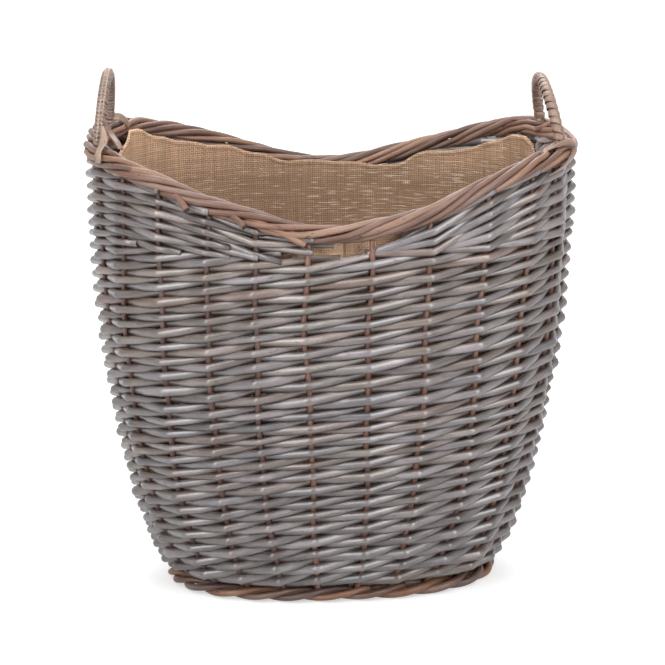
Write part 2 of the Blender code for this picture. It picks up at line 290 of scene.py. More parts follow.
def rod_piece(name, lines, finish, sides=10):
    """One piece of one or more rods. A line is its points, radii, colour and seed, and where the
    rod is pressed narrow, the shares that its width keeps."""
    corners, faces, colours, grain = [], [], [], []
    turn = np.arange(sides) * 2 * np.pi / sides
    for points, radii, colour, seed, *squash in lines:
        ahead = unit(np.gradient(points, axis=0))
        up = [0, 0, 1] - ahead * ahead[:, 2:]
        steep = np.linalg.norm(up, axis=1) < upright_sine
        up[steep] = [0, 1, 0] - ahead[steep] * ahead[steep, 1:2]
        up = unit(up)
        side = np.cross(ahead, up)
        wide, tall = radii[:, None] * np.cos(turn), radii[:, None] * np.sin(turn)
        narrowed = wide * np.reshape(squash or 1.0, (-1, 1))
        rings = points[:, None] + side[:, None] * narrowed[..., None]
        rings = rings + up[:, None] * tall[..., None]
        grid = np.stack(np.broadcast_arrays(run_along(points)[:, None], wide, tall), -1)
        faces += tube_faces(len(points), sides, sum(map(len, corners)))
        corners.append(rings.reshape(-1, 3))
        grain.append((grid + seed * grain_shifts).reshape(-1, 3))
        colours.append(np.repeat(np.broadcast_to(colour, (len(points), 4)), sides, axis=0))
    return add_piece(name, corners, faces, [finish, cut_end], rod_colour=colours, grain=grain)


def willow_finish(name, wash_colour, wash_share, roughness, speck_share=1.0, sheen=0.0):
    """A sheen above 0 is a waxed rod's: its highlight is short along the rod and tall across it."""
    finish = Finish(name)
    finish.set(specular_ior_level=0.5 + sheen / 2, ior=1.5 + 0.07 * sheen)
    finish.set(anisotropic=0.78 * sheen, anisotropic_rotation=0.25)
    grain = finish.attribute("grain")
    streaks = finish.noise(grain, (28, 900, 900), detail=3.0)
    patches = finish.noise(grain, (24, 90, 90))
    paleness = finish.noise(grain, (60, 420, 420), detail=4.0, roughness=0.65)
    specks = finish.noise(grain, (260, 700, 700), detail=1.0)
    knots = finish.noise(grain, (95, 300, 300), detail=1.0)
    patch_shade = finish.between(patches, 0.28, 0.72, 0.74, 1.22)
    streak_shade = finish.between(streaks, 0.25, 0.75, 0.86, 1.12)
    colour = finish.tint(finish.attribute("rod_colour", "Color"), patch_shade * streak_shade)
    washed = finish.between(paleness + patches, 0.92, 1.28) * wash_share
    colour = finish.blend(washed, colour, wash_colour)
    dark = finish.between(specks, 0.70, 0.76) * 0.7 + finish.between(knots, 0.715, 0.75) * 0.8
    colour = finish.blend(dark * speck_share, colour, speck_colour)
    normal = finish.bump(streaks * 0.6 + paleness * 0.4, 0.35, grain_depth)
    finish.set(base_color=colour, roughness=roughness + streaks * 0.16, normal=normal)
    return finish


def signed_power(value, power):
    return np.sign(value) * np.abs(value) ** power


def oval(half_width, half_depth, turn):
    """Points of an oval a little squarer than an ellipse, from the middle of the front."""
    x = half_width * signed_power(np.sin(turn), 2 / plan_power)
    return x, -half_depth * signed_power(np.cos(turn), 2 / plan_power)


def base_round(step):
    """One round of the base, counted from the middle out to the stakes' feet."""
    turn = np.linspace(0, 2 * np.pi, base_round_points)
    inset = stake_radius + base_rod_radius + (base_rounds - 1 - step) * base_round_pitch
    x, y = oval(base_half_width - inset, base_half_depth - inset, turn)
    z = (base_weave_low.z + base_weave_high.z) / 2
    z = z + base_weave_lift * np.cos(turn * base_crossings + np.pi * (step % 2))
    return np.stack([x, y, z], -1), np.full(len(turn), base_rod_radius), base_colour, step + 0.5


speck_colour = srgb(62, 50, 44)
base_colour = srgb(136, 112, 98)
brown_willow = willow_finish("brown willow", srgb(168, 150, 140), 0.25, 0.36)
cut_end = Finish("cut willow end")
cut_end.set(base_color=srgb(74, 60, 54), roughness=0.9)
base = rod_piece("base", [base_round(step) for step in range(base_rounds)], brown_willow, sides=8)
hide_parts("base_weave")
for node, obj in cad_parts.items():
    if node.startswith("base_") and node != "base_weave":
        obj.data.materials.clear()
        obj.data.materials.append(cut_end.owner)

# The stakes: red-brown rods pushed into the base, that the siding is woven round. They lean and
# bend a little, as the weaving pulls them, and their line gives the basket its shape: an oval that
# flares from the base to the rim and whose rim rises at the ends, where the stakes crowd.
stake_count = 26
base_thickness = 0.0145
rim_half_width, rim_half_depth = 0.222, 0.157
flare_height, flare_power = 0.415, 0.714
crowding_share = 0.082
rim_height, rim_end_rise = 0.385, 0.052
border_depth = 0.0183
stake_bottom, stake_into_border = 0.004, 0.004
stake_top_share, stake_taper = 0.90, 0.14
stake_points = 40
stake_tilt, stake_waver, stake_bulge = 0.0011, 0.0008, 0.0004
stake_spacing = 0.045
stake_colours = [srgb(140, 101, 86), srgb(128, 92, 80), srgb(148, 110, 96), srgb(120, 88, 78)]
stake_tones = 0.85, 1.12
oval_points = 1441
table_top, table_rows, table_columns_per_stake = 0.46, 185, 24
table_heights = np.linspace(0, table_top, table_rows)
table_places = np.linspace(0, stake_count, stake_count * table_columns_per_stake + 1)

# Places round the basket are counted in stake spacings from the middle of the front, anticlockwise
# from above, so the stakes stand at the halves. Here are the border's hand-made highs and lows, as
# places and millimetres above its even line.
rim_uneven = [(-6.5, 4), (-5.15, 0), (-3.65, -5), (-2.6, -8), (-1.7, -5), (-0.8, -5), (0, -3),
              (0.6, 1), (1.6, 0), (2.3, 3), (3.0, 2), (4.8, 2), (6.5, 2), (8.7, 4), (9.1, 1),
              (10.1, -2), (11.1, 1), (11.7, 3), (12.9, 6), (13.5, 8), (14.1, 11), (14.8, 11),
              (15.4, 10), (16.6, 7), (17.3, 8), (19.5, 4)]

# How far each stake stands off its even place, in hundredths of a spacing: at its top, high up on
# the siding and low down
stake_wander = {-6.5: (0, 0, 0), -5.5: (2, -4, -26), -4.5: (12, -13, -44), -3.5: (6, -5, -34),
                -2.5: (3, -4, -22), -1.5: (-9, -16, -19), -0.5: (-13, -25, -16), 0.5: (-6, -13, 0),
                1.5: (1, -6, 5), 2.5: (7, 2, 22), 3.5: (15, 5, 38), 4.5: (-4, 20, 44),
                5.5: (5, 5, 26), 6.5: (0, 0, 0), 19.5: (0, 0, 0)}
wander_heights = 0.40, 0.29, 0.11
lowest_high_share = -0.3


def lap_place(place):
    """The same place as a number from the left end's -6.5 to 19.5."""
    quarter = stake_count / 4
    return (np.asarray(place) + quarter) % stake_count - quarter


def wall_row(z):
    """The oval at one height: its places x and y, and its outward direction."""
    climb = np.clip((z - base_thickness) / (flare_height - base_thickness), 0, 1)
    flare = (1 - (1 - climb) ** 2) ** flare_power
    width = base_half_width + (rim_half_width - base_half_width) * flare
    depth = base_half_depth + (rim_half_depth - base_half_depth) * flare
    x, y = oval(width, depth, np.linspace(0, 2 * np.pi, oval_points))
    run = run_along(np.stack([x, y], -1))
    crowding = crowding_share * np.sin(4 * np.pi * table_places / stake_count) / (4 * np.pi)
    at = (table_places / stake_count + crowding) * run[-1]
    x, y = np.interp(at, run, x), np.interp(at, run, y)
    out = np.stack([signed_power(x / width, plan_power - 1) / width,
                    signed_power(y / depth, plan_power - 1) / depth])
    return np.concatenate([[x, y], out / np.linalg.norm(out, axis=0)])


wall_table = np.stack([wall_row(z) for z in table_heights])


def wall(place, z, out=0.0):
    """Points of the wall at these places and heights, pushed out by these distances."""
    place, z, out = np.broadcast_arrays(np.asarray(place, float), z, out)
    just_inside = table_rows - 1.001
    row = np.clip(z / table_heights[1], 0, just_inside)
    column = place % stake_count / table_places[1]
    r, c = row.astype(int), column.astype(int)
    s, t = row - r, column - c
    found = 0
    for down, across in ((0, 0), (1, 0), (0, 1), (1, 1)):
        share = (s if down else 1 - s) * (t if across else 1 - t)
        found = found + wall_table[r + down, :, c + across] * share[..., None]
    x, y, out_x, out_y = np.moveaxis(found, -1, 0)
    return np.stack([x + out_x * out, y + out_y * out, z], -1)


def end_share(place):
    """0 at the middle of the front and back, 1 at the two ends, as the rim rises."""
    return (1 - np.cos(np.pi * wall(place, flare_height)[..., 0] / rim_half_width)) / 2


def rim_at(place):
    """The height of the border's top."""
    places, lifts = zip(*rim_uneven)
    lift = np.interp(lap_place(place), places, lifts)
    return rim_height + rim_end_rise * end_share(place) + lift / 1000


def stake_at(place, z):
    """The real place of a stake, or of a point between two, that is counted evenly."""
    place, z = np.broadcast_arrays(np.asarray(place, float), z)
    rows = np.array(list(stake_wander.values())).T
    top, high, low = (np.interp(lap_place(place), list(stake_wander), row) / 100 for row in rows)
    top_z, high_z, low_z = wander_heights
    high_share = np.clip((z - low_z) / (high_z - low_z), lowest_high_share, 1)
    top_share = np.clip((z - high_z) / (top_z - high_z), 0, 1)
    return place + high * high_share + low * (1 - high_share) + (top - high) * top_share


def drawn_colour(draw, colours, tones):
    """One of the colours, a little darker or paler."""
    colour = np.array(colours[draw.integers(len(colours))])
    colour[:3] *= draw.uniform(*tones)
    return colour


def stake_line(number):
    place = number + 0.5
    top = rim_at(stake_at(place, flare_height)) - border_depth + stake_into_border
    share = np.linspace(0, 1, stake_points)
    z = stake_bottom + (top - stake_bottom) * share
    sway = stake_tilt * np.sin(share * 9 + number * 2.4) + stake_waver * np.sin(share * 23 + number)
    at = stake_at(place, z) + sway / stake_spacing
    points = wall(at, z, stake_bulge * np.sin(share * 17 + number))
    return points, stake_radius * (stake_top_share + stake_taper * (1 - share))


draw = np.random.default_rng(11)
for number in range(stake_count):
    line = (*stake_line(number), drawn_colour(draw, stake_colours, stake_tones), 40 + number * 0.37)
    stake = rod_piece(f"stake_rod_{number + 1:02d}", [line], brown_willow)
    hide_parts(f"stake_{number + 1:02d}")

# The siding: grey-washed willow in two bands. In each band a rod starts behind every stake and
# goes round in front of one stake and behind the next, a row higher each time. The butts are thick
# and the tips thin. Below the border the high ends are filled up with rows of thin rods.
lower_bottom, band_change, even_top = 0.0138, 0.2095, 0.3535
band_lap = 0.003
lower_levels, upper_levels = 28, 20
butt_radius, tip_radius, packing_radius = 0.00440, 0.00350, 0.00335
packing_spacing, packing_overlap, strip_packing_pitch = 0.0060, 0.002, 0.0052
siding_bulge = 0.0007
siding_bend, siding_waver = 0.0003, 0.0004
siding_colours = [srgb(88, 77, 74), srgb(93, 79, 70), srgb(70, 58, 54), srgb(90, 83, 84),
                  srgb(90, 79, 70), srgb(112, 103, 103), srgb(86, 65, 54)]
siding_chances = np.array([5, 4, 3, 4, 3, 3, 2])
siding_tones = 0.72, 1.32
# Painted shade and light by band: the lower band's rods are painted darker, and the upper band's
# and the packing rods paler, for how the light falls on the wall.
lower_band_painted_shade, upper_band_painted_light = 0.88, 1.16
fatness_spread, least_fatness, most_fatness = 0.09, 0.80, 1.2
row_unevenness = 0.9, 1.1
butt_leads = 0.05, 0.32
grey_willow = willow_finish("grey washed willow", srgb(178, 170, 174), 0.32, 0.26, sheen=1.0)

# A rod's way from one stake to the next, in spacings, and how far off their line it lies there, as
# a share of the stake's radius and its own
strokes = [0, 0.02, 0.05, 0.09, 0.5, 0.91, 0.95, 0.98]
stroke_reaches = [0.86, 0.83, 0.74, 0.64, 0.0, -0.64, -0.74, -0.83]
pressed_reach, pressed_width = 0.8, 0.92

# How far a rod runs on past its last stake, in spacings, where it is cut off against that stake,
# where the next rod covers it, and where it ends halfway to the next stake
cut_tail, covered_tail, half_tail = 0.07, 0.08, 0.5
straight_lead = 0.05
lead_turn_in, tail_turn_in = 1.1, 1.6


def weave_rod(first, heights, radii, draw, seed, lead, tail, painted_light_level):
    """A rod that passes the stakes one after another at these heights, the first on its inside."""
    count = len(heights)
    u = np.append(np.add.outer(np.arange(count - 1), strokes).ravel(), count - 1)
    reaches = np.append(np.tile(stroke_reaches, count - 1), stroke_reaches[0])
    reaches = reaches * np.where(np.floor(u) % 2 == 0, -1, 1)
    u = np.r_[-lead, u, count - 1 + tail]
    begin = reaches[0] * (1 - lead_turn_in * max(lead - straight_lead, 0))
    end = reaches[-1] * (1 - tail_turn_in * max(tail - cut_tail, 0))
    reaches = np.r_[begin, reaches, end]
    z = np.interp(u, np.arange(count), heights)
    z[0] -= lead * (heights[1] - heights[0])
    z[-1] += tail * (heights[-1] - heights[-2])
    thick = np.interp(u, np.arange(count), radii)
    bend = np.interp(u, np.arange(count), draw.normal(0, 1, count))
    out = (stake_radius + thick) * reaches + siding_bend * bend + siding_bulge
    z = z + siding_waver * np.sin(u * 3.7 + first * 1.7)
    radius = thick * (1 + 0.03 * np.sin(u * 2.9 + first * 2.3) + 0.02 * np.sin(u * 11 + first))
    squash = np.where(np.abs(reaches) > pressed_reach, pressed_width, 1.0)
    shares = siding_chances / siding_chances.sum()
    colour = np.array(siding_colours[draw.choice(len(siding_colours), p=shares)])
    # The band's level paints the band's light and shade into the rod's colour.
    colour[:3] *= draw.uniform(*siding_tones) * painted_light_level
    return wall(stake_at(first + 0.5 + u, z), z, out), radius, colour, seed, squash


def weave_band(band, bottom, top, levels, tails, seed, painted_light_level):
    """One band of the siding, with a rod behind every stake, squeezed to fit under its top."""
    draw = np.random.default_rng(seed)
    fatness = draw.normal(1, fatness_spread, stake_count).clip(least_fatness, most_fatness)
    radii = np.linspace(butt_radius, tip_radius, levels + 1) * fatness[:, None]
    heights = np.zeros((stake_count, levels + 1))
    level = np.arange(levels + 1)
    for stake in range(stake_count):
        passing = radii[(stake - level) % stake_count, level]
        passing = passing * draw.uniform(*row_unevenness, levels + 1)
        stack = np.cumsum(passing[:-1] + passing[1:])
        heights[stake, 0] = bottom + passing[0]
        room = top[stake] - bottom - passing[0]
        heights[stake, 1:] = heights[stake, 0] + stack * room / stack[-1]
    for first in range(stake_count):
        lead, tail = draw.uniform(*butt_leads), tails[(first + levels) % stake_count]
        line = weave_rod(first, heights[(first + level) % stake_count, level], radii[first], draw,
                         seed + first * 0.71, lead, tail, painted_light_level)
        piece = rod_piece(f"{band}_siding_{first + 1:02d}", [line], grey_willow)
        if first < 2:
            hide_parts(f"{band}_siding_rod_{'ab'[first]}")


lower_top, lower_tails = np.full(stake_count, band_change), [cut_tail] * stake_count
weave_band("lower", lower_bottom, lower_top, lower_levels, lower_tails, 3, lower_band_painted_shade)

# How far the siding stops short of the border at the stakes, in millimetres: hessian shows in the
# front's open strip
strip_depths = {-1.5: 5, -0.5: 15, 0.5: 16, 1.5: 1, 11.5: 3, 12.5: 10, 13.5: 10, 14.5: 3}
stake_places = np.arange(stake_count) + 0.5
strip = np.array([strip_depths.get(place, 0) for place in lap_place(stake_places)]) / 1000
under_border = rim_at(stake_at(stake_places, flare_height)) - border_depth
siding_top = under_border - strip
even_line = np.minimum(siding_top, even_top)

# The last packing row at each stake, counted down from 0 at the border, or -1 where there is none.
# At the strip's start two rows run on close under the border.
packed_depth = siding_top + packing_overlap - even_line
packing_rows = np.round((packed_depth / packing_spacing - 1) / 2).astype(int) * 2 + 1
packing_rows[siding_top - even_line < packing_spacing] = -1
packing_pitch = packed_depth / np.maximum(packing_rows + 1, 1)
strip_start = stake_count - 1
strip_tails = 0.06, 0.4
least_row_gap = 0.3
packing_taper, packing_fatness_spread = (1.12, 0.92), 0.07
packing_rows[strip_start], packing_pitch[strip_start] = 1, strip_packing_pitch
tails = np.where(np.roll(packing_rows, -1) < packing_rows, half_tail, cut_tail)
weave_band("upper", band_change - band_lap, even_line, upper_levels, tails, 5, upper_band_painted_light)


def packing_height(stake, row):
    """Rows are counted down from the border, and the lowest lie on the even siding."""
    row = min(row, packing_rows[stake] + least_row_gap)
    top = under_border[stake] if stake == strip_start else siding_top[stake]
    return top + packing_overlap - (row + 0.5) * packing_pitch[stake]


def packing_climb(stake, row):
    """A packing rod's heights at the stakes it passes, a row higher each time, and its tail."""
    heights = []
    for step in range(row + 2):
        at = (stake + step) % stake_count
        if at == (strip_start + 1) % stake_count and step:
            return heights, strip_tails[(row - step) % 2]
        if row - step > packing_rows[at] and step % 2 == row % 2:
            return heights, half_tail
        heights.append(packing_height(at, row - step))
        if row - step > packing_rows[at]:
            break
    return heights, covered_tail


draw = np.random.default_rng(31)
for stake in range(stake_count):
    reached = min(packing_rows[stake - 1] - 1, packing_rows[stake])
    for row in range(max(reached, -1) + 1, packing_rows[stake] + 1):
        heights, tail = packing_climb(stake, row)
        first, lead = stake, half_tail
        if row % 2 == 1:
            first, lead = stake - 1, covered_tail
            heights.insert(0, packing_height(first, row + 1))
        if len(heights) > 1:
            radii = np.linspace(*packing_taper, len(heights)) * packing_radius
            radii = radii * draw.normal(1, packing_fatness_spread)
            seed = 200 + stake * 1.3 + row
            line = weave_rod(first, heights, radii, draw, seed, lead, tail, upper_band_painted_light)
            piece = rod_piece(f"packing_rod_{stake + 1:02d}_{row:02d}", [line], grey_willow)

# The foot: three buff rods twisted round the stakes' feet, each behind one stake and before two.
# They hold the stakes where they leave the base, and the basket stands on them.
wale_radius = 0.0035
wale_half_spread, wale_middle_out, wale_half_lift = 0.0072, 0.0012, 0.0033
wale_start, wale_end = 0.53, 0.9
rope_points_per_stake = 12
wale_taper = [1.08, 0.86]
wale_colours = [srgb(128, 88, 64), srgb(106, 78, 66), srgb(94, 72, 66)]
for number, colour in enumerate(wale_colours):
    start, end = number + wale_start, number + stake_count + wale_end
    place = np.linspace(start, end, stake_count * rope_points_per_stake)
    turn = math.pi + 2 * math.pi / 3 * (place - number - 0.5)
    points = wall(stake_at(place, 0.0), 0.0, wale_middle_out + wale_half_spread * np.cos(turn))
    points[:, 2] = base_thickness / 2 + wale_half_lift * np.sin(turn)
    radii = wale_radius * np.interp(place - number, [0, stake_count], wale_taper)
    rod = rod_piece(f"foot_rod_{number + 1}", [(points, radii, colour, 70 + number)], brown_willow)
    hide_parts(f"foot_wale_rod_{number + 1}")

# The border: long slender rods turned down from the stakes' tips and twisted round the rim as a
# rope. They part round the handle legs, and here and there a rod's end is tucked in.
leg_places = [4.72, 7.90, 17.95, 20.47]
border_strands = 6
border_rod_radius = 0.00305
border_circle = 0.0061
border_drop = 0.0091
border_rest = 0.25
border_turns_in_handle, border_turns_between = 3, 15
border_run = 13.7
border_taper = [1.12, 0.82]
border_tones = 0.88, 1.12
tuck_length, tuck_depth = 0.7, 0.65
strand_step, start_scatter = 4.37, 0.5
parted_power = 0.3
# The border's colour is paler towards the two ends.
border_middle_level, border_end_lift = 0.90, 0.28
leg_reach = 0.0086
border_colours = [srgb(136, 99, 80), srgb(112, 80, 66), srgb(152, 116, 95), srgb(120, 92, 80),
                  srgb(96, 69, 58), srgb(148, 124, 112)]


def border_turn(place):
    """The rope's twist in sixths of a turn: it rests at each handle leg, with three rods a side."""
    knots, turns, turn = [], [], 0
    for count, leg in enumerate([*leg_places, leg_places[0] + stake_count]):
        knots += [leg - border_rest, leg + border_rest]
        turns += [turn, turn]
        turn += border_turns_in_handle if count % 2 == 0 else border_turns_between
    laps = np.floor((place - knots[0]) / stake_count)
    lap_turns = 2 * (border_turns_in_handle + border_turns_between)
    return np.interp(place - laps * stake_count, knots, turns) + lap_turns * laps


def leg_share(place):
    """1 at a handle leg, falling to 0 at the next stakes."""
    half_lap = stake_count / 2
    apart = [np.abs((place - leg + half_lap) % stake_count - half_lap) for leg in leg_places]
    return np.clip(1 - np.min(apart, axis=0), 0, 1)


def border_line(strand, start, colour, seed):
    end = start + border_run
    place = np.linspace(start, end, int(border_run * rope_points_per_stake))
    angle = (border_turn(place) + strand) * math.pi / 3 + 0.09 * np.sin(place * 1.7 + seed)
    opened = np.sqrt(leg_share(place))
    from_end = np.minimum(place - start, end - place)
    reach = border_circle * (1 - tuck_depth + tuck_depth * np.clip(from_end / tuck_length, 0, 1))
    reach = reach * (1 + 0.06 * np.sin(place * 2.3 + seed * 1.9))
    parted = signed_power(np.cos(angle), parted_power) * leg_reach
    out = np.cos(angle) * reach * (1 - opened) + parted * opened
    points = wall(place, rim_at(place) - border_drop, out)
    points[:, 2] += np.sin(angle) * reach
    radii = border_rod_radius * np.interp(place, [start, end], border_taper)
    paleness = border_middle_level + border_end_lift * end_share(place)
    return points, radii, colour * paleness[:, None] ** [1, 1, 1, 0], seed


draw = np.random.default_rng(23)
border_cad = [f"border_rod_{number + 1}" for number in range(4)]
for strand in range(border_strands):
    for half in range(2):
        scatter = draw.uniform(-start_scatter, start_scatter)
        start = strand * strand_step + half * stake_count / 2 + scatter
        colour = drawn_colour(draw, border_colours, border_tones)
        line = border_line(strand, start, colour, 90 + strand * 2 + half)
        rod = rod_piece(f"rope_rod_{strand + 1}_{half + 1}", [line], brown_willow)
        if border_cad:
            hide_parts(border_cad.pop(0))

# The loose ends: stake tips that come out of the border and are cut off against the siding.
# Each is where its cut end lies, how far off the stakes it is there, and how far back it begins.
loose_begin_out = 0.002
loose_taper = [0.0026, 0.0032]
loose_points, loose_bend = 9, 1.3
loose_ends = [
    (-2.74, 0.3955, 0.0150, -0.36), (-1.74, 0.3830, 0.0150, -0.36), (-0.74, 0.3655, 0.0065, -1.1),
    (9.4, 0.4060, 0.0085, -0.9), (11.6, 0.3730, 0.0080, -1.0), (14.4, 0.3790, 0.0080, 0.9),
    (16.3, 0.4060, 0.0085, -1.0),
]
lines = []
for count, (place, z, out, back) in enumerate(loose_ends):
    share = np.linspace(0, 1, loose_points)
    begin_z = rim_at(place + back) - border_drop
    points = wall(place + back * (1 - share), begin_z + (z - begin_z) * share ** loose_bend,
                  loose_begin_out + (out - loose_begin_out) * share)
    radii = np.interp(share, [0, 1], loose_taper)
    lines.append((points, radii, border_colours[count % len(border_colours)], 130 + count))
ends = rod_piece("loose_ends", lines, brown_willow)

# The handles: a bent rod arched over about three stake spacings, its legs pushed down into the
# siding, and wound from border to border with flat split skein. On the left handle the skein goes
# over two listing strips that lie along the arch.
handle_rod_radius = 0.0045
handle_rises = {"left": 0.0585, "right": 0.0545}
handle_leans = {"left": 0.005, "right": 0.010}
leg_feet = dict(zip(leg_places, (4.6, 7.62, 17.6, 20.5)))
arch_fullness = 1.16
leg_depth = 0.072
leg_points, arch_points = 10, 34
core_radii, core_point_rings = [0.00215, 0.0043], 7
core_colour = srgb(120, 90, 76)
skein_thickness = 0.0007
skein_start = 0.006
skein_colours = {"left": srgb(146, 124, 112), "right": srgb(148, 120, 104)}
skein_pitches = {"left": 0.0036, "right": 0.0074}
skein_points_per_loop = 20
skein_wander, skein_tremble = 0.0004, 0.0002
skein_finish = willow_finish("split skein", srgb(196, 180, 172), 0.30, 0.34, speck_share=0.6)
listing_angles = [math.pi + 0.45, math.pi - 0.2]
listing_width, listing_thickness = 0.0022, 0.0006
listing_middle_share, listing_swing_share, listing_points_per_loop = 0.55, 0.95, 6
listing_colour = srgb(172, 150, 136)
direction_step = 0.003
strip_shifts = np.array([5.7, 2.9, 1.0])

# A strip's slightly domed section: places across it as shares of its width, and heights as shares
# of its thickness
strip_shares = np.array([-0.5, -0.3, 0, 0.3, 0.5, 0.42, 0, -0.42])
strip_dome_shares = np.array([0.35, 0.85, 1.0, 0.85, 0.35, -0.1, 0, -0.1])


def handle_line(first_leg, second_leg, rise, lean):
    """From one leg's foot in the siding, over the arch, to the other leg's foot."""
    legs = []
    for leg in (first_leg, second_leg):
        share = np.linspace(0, 1, leg_points)
        z = rim_at(leg) - leg_depth * (1 - share)
        legs.append(wall(leg_feet[leg] + (leg - leg_feet[leg]) * share, z))
    left, right = legs[0][-1], legs[1][-1]
    centre, half_span = (left + right) / 2, (right - left) / 2
    inward = -unit(centre * [1, 1, 0])
    crown = rise - handle_rod_radius - skein_thickness
    turn = np.linspace(0, math.pi, arch_points)[1:-1, None]
    lift = np.sin(turn) ** arch_fullness
    arch = centre - half_span * np.cos(turn) + inward * lean * lift
    arch[:, 2:] += crown * lift
    return np.concatenate([legs[0], arch, legs[1][::-1]])


def along(line, distance):
    """Points this far along a line, and the line's direction there."""
    run = run_along(line)
    before, at, after = (
        np.stack([np.interp(distance + step, run, line[:, axis]) for axis in range(3)], -1)
        for step in (-direction_step, 0, direction_step))
    return at, unit(after - before)


def strip_piece(name, strips):
    """One piece of flat strips of skein. A strip is its middle line, outward directions, widths,
    colour, seed and thickness."""
    corners, faces, colours, grain = [], [], [], []
    for points, outward, widths, colour, seed, thickness in strips:
        ahead = unit(np.gradient(points, axis=0))
        outward = unit(outward - ahead * (outward * ahead).sum(1, keepdims=True))
        across = np.cross(ahead, outward)
        wide = widths[:, None] * strip_shares
        rings = points[:, None] + across[:, None] * wide[..., None]
        rings = rings + outward[:, None] * (thickness * strip_dome_shares)[:, None]
        count, sides = wide.shape
        grid = np.stack(np.broadcast_arrays(run_along(points)[:, None], wide, 0.0), -1)
        faces += tube_faces(count, sides, sum(map(len, corners)), mirrored=True)
        corners.append(rings.reshape(-1, 3))
        grain.append((grid + seed * strip_shifts).reshape(-1, 3))
        colours.append(np.tile(colour, (count * sides, 1)))
    return add_piece(name, corners, faces, [skein_finish], rod_colour=colours, grain=grain)


def outward_rays(ahead, plane, angle):
    """Directions square to the handle's line: angle 0 is to the arch's centre."""
    return unit(np.cross(ahead, plane)) * np.cos(angle) + plane * np.sin(angle)


def winding(line, plane, wound, side):
    """The skein wound round a handle in loops that lie edge to edge."""
    pitch = skein_pitches[side]
    loops = int((wound + 2 * skein_start) / pitch)
    turn = np.linspace(0, loops, loops * skein_points_per_loop + 1)
    wander = skein_wander * np.sin(turn * 2.3) + skein_tremble * np.sin(turn * 5.1)
    at, ahead = along(line, leg_depth - skein_start + pitch * turn + wander)
    ray = outward_rays(ahead, plane, 2 * np.pi * turn[:, None])
    widths = pitch * (0.98 + 0.05 * np.sin(turn * 3.3))
    return at + ray * handle_rod_radius, ray, widths, skein_colours[side], 160, skein_thickness


def listing(line, plane, wound, side, angle):
    """A strip that lies along the arch and comes out once in every loop of the skein."""
    pitch = skein_pitches[side]
    run = np.arange(0, wound, pitch / listing_points_per_loop)
    at, ahead = along(line, leg_depth + run)
    ray = outward_rays(ahead, plane, angle)
    swing = listing_swing_share * np.cos(2 * np.pi * run / pitch)
    reach = handle_rod_radius + skein_thickness * (listing_middle_share + swing)
    widths = np.full(len(run), listing_width)
    return at + ray * reach[:, None], ray, widths, listing_colour, 164 + angle, listing_thickness


for side, legs in (("right", leg_places[:2]), ("left", leg_places[2:])):
    line = handle_line(*legs, handle_rises[side], handle_leans[side])
    from_end = np.minimum(np.arange(len(line)), np.arange(len(line))[::-1])
    radii = np.interp(from_end, [0, core_point_rings], core_radii)
    core = rod_piece(f"{side}_handle_core", [(line, radii, core_colour, 150)], brown_willow)
    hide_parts(f"{side}_handle_rod")
    wound = run_along(line)[-1] - 2 * leg_depth
    plane = unit(np.cross(line[-1] - line[0], [0, 0, 1]))
    strips = [winding(line, plane, wound, side)]
    if side == "left":
        strips += [listing(line, plane, wound, side, angle) for angle in listing_angles]
    wrap = strip_piece(f"{side}_handle_wrap", strips)
    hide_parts(f"{side}_handle_skein")

# The lashings: broad skein brought down from each handle, folded over the border and tucked in.
# A strap is a colour, a turn that lays its face flat, and a list of places round the rim, heights
# above the border's top, reaches out from the stakes' line, and widths, in millimetres.
strap_thickness = 0.0010
strap_steps = 6
strap_smoothing = [0.25, 0.5, 0.25]
strap_smoothings = 4
brown_skein, pale_skein, grey_skein = srgb(138, 106, 88), srgb(164, 138, 118), srgb(172, 162, 164)
outward_face, leg_face = (0, 0, 0), (-0.01, -0.02, 0)
front_face, near_face = (0.01, -0.03, 0.01), (0, -0.2, 0.05)
lashings = [
    (brown_skein, outward_face, [
        (3.97, -3, -2, 2), (4.22, 0.9, 3, 5), (4.55, 2.2, 7.5, 7), (4.82, 0, 11.3, 8),
        (4.86, -5.5, 12.7, 9), (4.62, -11.7, 12.6, 10), (4.36, -16.9, 11.8, 9), (4.08, -19, 11, 5),
        (3.87, -20, 9.6, 2)]),
    (grey_skein, near_face, [
        (7.36, -17.5, -11, 5), (7.40, -22, -12, 7), (7.43, -27, -12, 6.5), (7.44, -32, -11, 5)]),
    (grey_skein, near_face, [
        (7.73, -17, -9, 4), (7.32, -17, -12.5, 6), (7.10, -15.7, -9, 6), (7.02, -14, -4, 5)]),
    (brown_skein, near_face, [
        (7.90, -9, -9, 4), (7.56, -8, -13, 5), (7.37, -5, -9.5, 5), (7.30, 0, -4, 4)]),
    (grey_skein, near_face, [
        (7.08, -18, -3, 4), (7.18, -22, -8, 6), (7.28, -27, -11, 6), (7.40, -33, -11.5, 4)]),
    (pale_skein, leg_face, [
        (-5.44, 17, -3, 3), (-5.36, 12, -3, 6), (-5.25, 7, -2, 8.5), (-5.12, 3.4, 1.5, 9),
        (-4.99, 1.4, 6.5, 9), (-4.88, -1, 11.5, 8.5), (-4.84, -5, 12.8, 8), (-4.84, -9, 12.4, 7)]),
    (brown_skein, front_face, [
        (-5.50, 22, -5, 3), (-5.56, 16, -7.5, 6.5), (-5.50, 11.5, -9.5, 8),
        (-5.37, 7.7, -11.5, 8.5), (-5.13, 4.5, -12.5, 8), (-4.93, 0, -12.5, 6)]),
    (pale_skein, front_face, [
        (-8.01, 2, -1, 6), (-8.09, 3.4, -5, 8), (-8.17, 3, -9, 8.5), (-8.33, -1.5, -11.5, 7.5),
        (-8.47, -8, -11.5, 5)]),
]
strips = []
